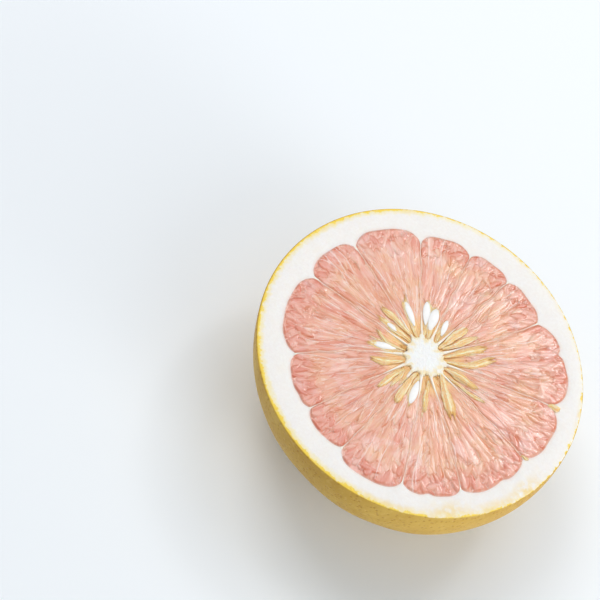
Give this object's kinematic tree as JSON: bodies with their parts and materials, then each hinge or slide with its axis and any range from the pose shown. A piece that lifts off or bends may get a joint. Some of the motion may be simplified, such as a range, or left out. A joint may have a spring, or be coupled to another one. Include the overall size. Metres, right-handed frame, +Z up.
{
  "type": "pomelo half",
  "caption": "Halved pomelo lying cut face up: thick pithy peel in a yellow rind, pink juice segments, pale core and a ring of seeds.",
  "frame": {"origin": "centre of the bounding box's underside, on the flat spot that the half stands on", "axes": "+Z up along the fruit's axis, out of the cut face; +X and +Y in the plane that it stands on"},
  "size_m": [0.1654, 0.166, 0.0663],
  "materials": {
    "rind": "satin",
    "pith": "matte",
    "pulp": "satin",
    "seed_coat": "satin",
    "cut_seed": "satin"
  },
  "bodies": {
    "root": {"peel": "rind", "core": "pith", "seeds": "seed_coat", "segment_01": "pulp", "segment_02": "pulp", "segment_03": "pulp", "segment_04": "pulp", "segment_05": "pulp", "segment_06": "pulp", "segment_07": "pulp", "segment_08": "pulp", "segment_09": "pulp", "segment_10": "pulp", "segment_11": "pulp", "segment_12": "pulp", "segment_13": "pulp"}
  },
  "joints": []
}
